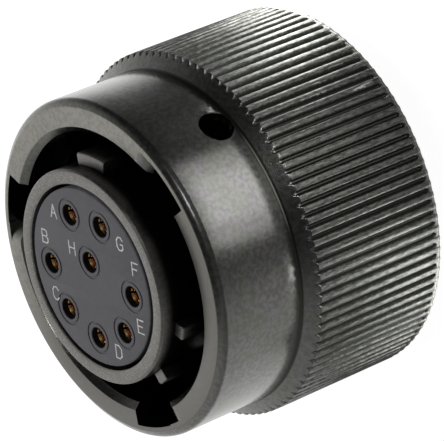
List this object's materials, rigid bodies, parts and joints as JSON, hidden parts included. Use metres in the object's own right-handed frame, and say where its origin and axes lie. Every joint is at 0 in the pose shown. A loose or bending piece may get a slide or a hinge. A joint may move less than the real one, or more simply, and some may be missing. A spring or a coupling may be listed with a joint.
{
  "type": "circular connector plug",
  "caption": "Bayonet-coupled circular connector plug: a knurled ring that turns and springs on a keyed shell, round a stepped insert with lettered socket contacts.",
  "frame": {"origin": "on the axis, in the plane of the shell's rear end, which is what the plug stands on", "axes": "+Z along the plug's axis out of the mating face, +Y through the master key"},
  "size_m": [0.026, 0.026, 0.0223],
  "materials": {
    "ring_plating": "dark olive plating, satin, worn at the edges",
    "shell_plating": "grey olive plating, satin, worn at the rim",
    "insert_plastic": "matt moulded plastic",
    "grommet_rubber": "matt silicone rubber",
    "gasket_rubber": "matt black rubber",
    "spring_steel": "bright rolled strip",
    "washer_steel": "ground washer",
    "contact_gold": "gold plating",
    "clip_bronze": "spring bronze"
  },
  "bodies": {
    "root": {"plug_shell": "shell_plating", "front_insert": "insert_plastic", "clip_disc": "insert_plastic", "wire_grommet": "grommet_rubber", "shell_gasket": "gasket_rubber", "insert_ring": "spring_steel", "wave_spring": "spring_steel", "socket_contact_a": "contact_gold", "socket_contact_b": "contact_gold", "socket_contact_c": "contact_gold", "socket_contact_d": "contact_gold", "socket_contact_e": "contact_gold", "socket_contact_f": "contact_gold", "socket_contact_g": "contact_gold", "socket_contact_h": "contact_gold", "contact_clip_a": "clip_bronze", "contact_clip_b": "clip_bronze", "contact_clip_c": "clip_bronze", "contact_clip_d": "clip_bronze", "contact_clip_e": "clip_bronze", "contact_clip_f": "clip_bronze", "contact_clip_g": "clip_bronze", "contact_clip_h": "clip_bronze"},
    "spring_carriage": {"thrust_washer": "washer_steel"},
    "coupling_ring": {"coupling_ring": "ring_plating", "retaining_ring": "spring_steel"}
  },
  "joints": [
    {"name": "ring_spring", "type": "slide", "parent": "root", "child": "spring_carriage", "axis": [0, 0, 1], "range_m": [0, 0.0008], "stiffness_N_per_m": 1000, "springref_m": -0.006, "deforming": ["wave_spring"]},
    {"name": "ring_turn", "type": "hinge", "parent": "spring_carriage", "child": "coupling_ring", "pos_m": [0, 0, 0], "axis": [0, 0, 1], "continuous": true}
  ]
}
